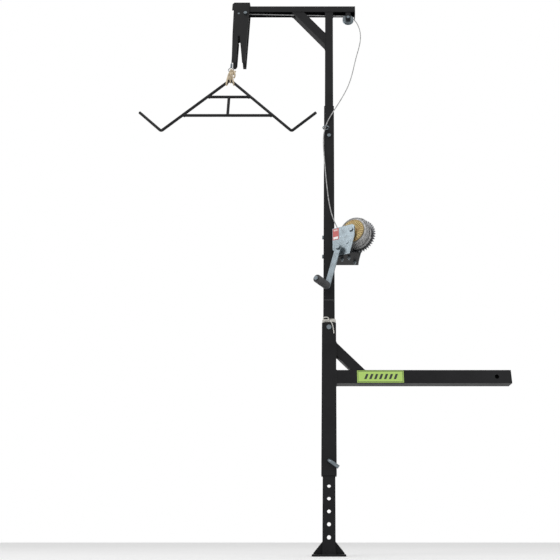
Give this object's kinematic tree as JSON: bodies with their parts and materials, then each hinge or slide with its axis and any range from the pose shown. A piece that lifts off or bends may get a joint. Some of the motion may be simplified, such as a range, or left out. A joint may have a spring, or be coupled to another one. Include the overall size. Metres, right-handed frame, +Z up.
{
  "type": "gambrel hoist kit",
  "caption": "Telescoping square-tube game hoist on a truck receiver bar, with swivelling boom, hand winch, cable and a bent-rod gambrel.",
  "frame": {"origin": "centre of the foot plate's underside, on the mast's axis", "axes": "+Z up the mast, boom towards -X, receiver bar towards +X, winch crank facing -Y"},
  "size_m": [1.5594, 0.1964, 2.508],
  "materials": {
    "black_frame": "satin black powder coat",
    "zinc": "bright zinc plate",
    "yellow_zinc": "yellow zinc plate",
    "gear_steel": "machined steel, oiled",
    "bush_nylon": "black nylon",
    "cable_steel": "galvanised wire rope",
    "rope": "twisted tan rope",
    "cord": "light braided cord",
    "grip_rubber": "matt black moulded grip",
    "label_lime": "plain lime vinyl",
    "sticker_red": "plain red vinyl"
  },
  "bodies": {
    "base": {"foot_plate": "black_frame", "foot_gussets": "black_frame", "leg_tube": "black_frame", "lower_mast": "black_frame", "hitch_bar": "black_frame", "bar_brace": "black_frame", "bar_label": "label_lime", "swivel_post": "black_frame", "swivel_bush": "bush_nylon", "post_pin": "zinc", "post_pin_clip": "zinc", "lanyard_cord": "cord"},
    "hitch_pin": {"hitch_pin": "zinc", "hitch_pin_clip": "zinc"},
    "upper": {"middle_mast": "black_frame", "swivel_spigot": "zinc", "spigot_bolt": "zinc", "spigot_washer": "zinc", "frame_bolts": "zinc", "frame_nuts": "zinc", "top_mast": "black_frame", "guide_eye": "zinc", "boom_channel": "black_frame", "boom_end_plate": "black_frame", "boom_brace": "black_frame", "head_plates": "black_frame", "head_cap": "black_frame", "sheave_pin": "zinc", "pulley_cheeks": "black_frame", "rear_axle": "zinc", "rear_axle_nut": "zinc", "winch_bracket": "black_frame", "bracket_bolts": "zinc", "base_bolts": "zinc", "winch_frame": "zinc", "winch_sticker": "sticker_red", "drum_axle": "zinc", "drum_axle_nut": "zinc", "pawl_pin": "zinc", "hoist_cable": "cable_steel"},
    "head_sheave": {"head_sheave": "zinc"},
    "rear_pulley": {"rear_pulley": "zinc"},
    "drum": {"drum_spool": "yellow_zinc", "drum_gear": "gear_steel", "wound_cable": "cable_steel"},
    "crank": {"crank_shaft": "zinc", "crank_pinion": "gear_steel", "ratchet_wheel": "gear_steel", "crank_arm": "zinc", "crank_nut": "zinc", "grip_axle": "zinc"},
    "grip": {"crank_grip": "grip_rubber"},
    "pawl": {"pawl": "zinc"},
    "cable": {"drop_cable": "cable_steel"},
    "sling": {"cable_eye": "cable_steel", "rope_sling": "rope"},
    "gambrel": {"gambrel_rod": "black_frame", "upper_spreader": "black_frame", "lower_spreader": "black_frame", "center_strut": "black_frame"}
  },
  "joints": [
    {"name": "upper_swivel", "type": "hinge", "parent": "base", "child": "upper", "pos_m": [0, 0, 0.928], "axis": [0, 0, 1], "continuous": true},
    {"name": "hitch_pin_turn", "type": "hinge", "parent": "base", "child": "hitch_pin", "pos_m": [0, 0, 0.311], "axis": [0, 1, 0], "continuous": true},
    {"name": "drum_spin", "type": "hinge", "parent": "upper", "child": "drum", "pos_m": [0.109, -0.042, 1.212], "axis": [0.4695, 0.8829, 0], "range_deg": [-40, 900]},
    {"name": "crank_spin", "type": "hinge", "parent": "upper", "child": "crank", "pos_m": [0.0675, -0.01993, 1.13408], "axis": [0.4695, 0.8829, 0], "range_deg": [-3360, 150]},
    {"name": "grip_spin", "type": "hinge", "parent": "crank", "child": "grip", "pos_m": [-0.00805, -0.05565, 0.97472], "axis": [0.4695, 0.8829, 0], "continuous": true},
    {"name": "pawl_swing", "type": "hinge", "parent": "upper", "child": "pawl", "pos_m": [0.07579, -0.06398, 1.15808], "axis": [0.4695, 0.8829, 0], "range_deg": [-5, 30]},
    {"name": "rear_pulley_spin", "type": "hinge", "parent": "upper", "child": "rear_pulley", "pos_m": [0.094, 0, 2.418], "axis": [0, -1, 0], "range_deg": [-110, 2425]},
    {"name": "head_sheave_spin", "type": "hinge", "parent": "upper", "child": "head_sheave", "pos_m": [-0.444, 0, 2.437], "axis": [0, -1, 0], "range_deg": [-130, 2900]},
    {"name": "hoist_travel", "type": "slide", "parent": "upper", "child": "cable", "axis": [0, 0, -1], "range_m": [-0.046, 1.03], "deforming": ["drop_cable"]},
    {"name": "sling_twist", "type": "hinge", "parent": "cable", "child": "sling", "pos_m": [-0.4643, 0, 2.14], "axis": [0, 0, 1], "range_deg": [-180, 180]},
    {"name": "gambrel_tilt", "type": "hinge", "parent": "sling", "child": "gambrel", "pos_m": [-0.464, 0, 2.044], "axis": [0, 1, 0], "range_deg": [-8, 8]}
  ],
  "couplings": [
    {"joint": "crank_spin", "follows": "drum_spin", "ratio": -3.7273},
    {"joint": "rear_pulley_spin", "follows": "drum_spin", "ratio": 2.6872},
    {"joint": "head_sheave_spin", "follows": "drum_spin", "ratio": 3.2167},
    {"joint": "hoist_travel", "follows": "drum_spin", "m_per_rad": 0.0653}
  ]
}
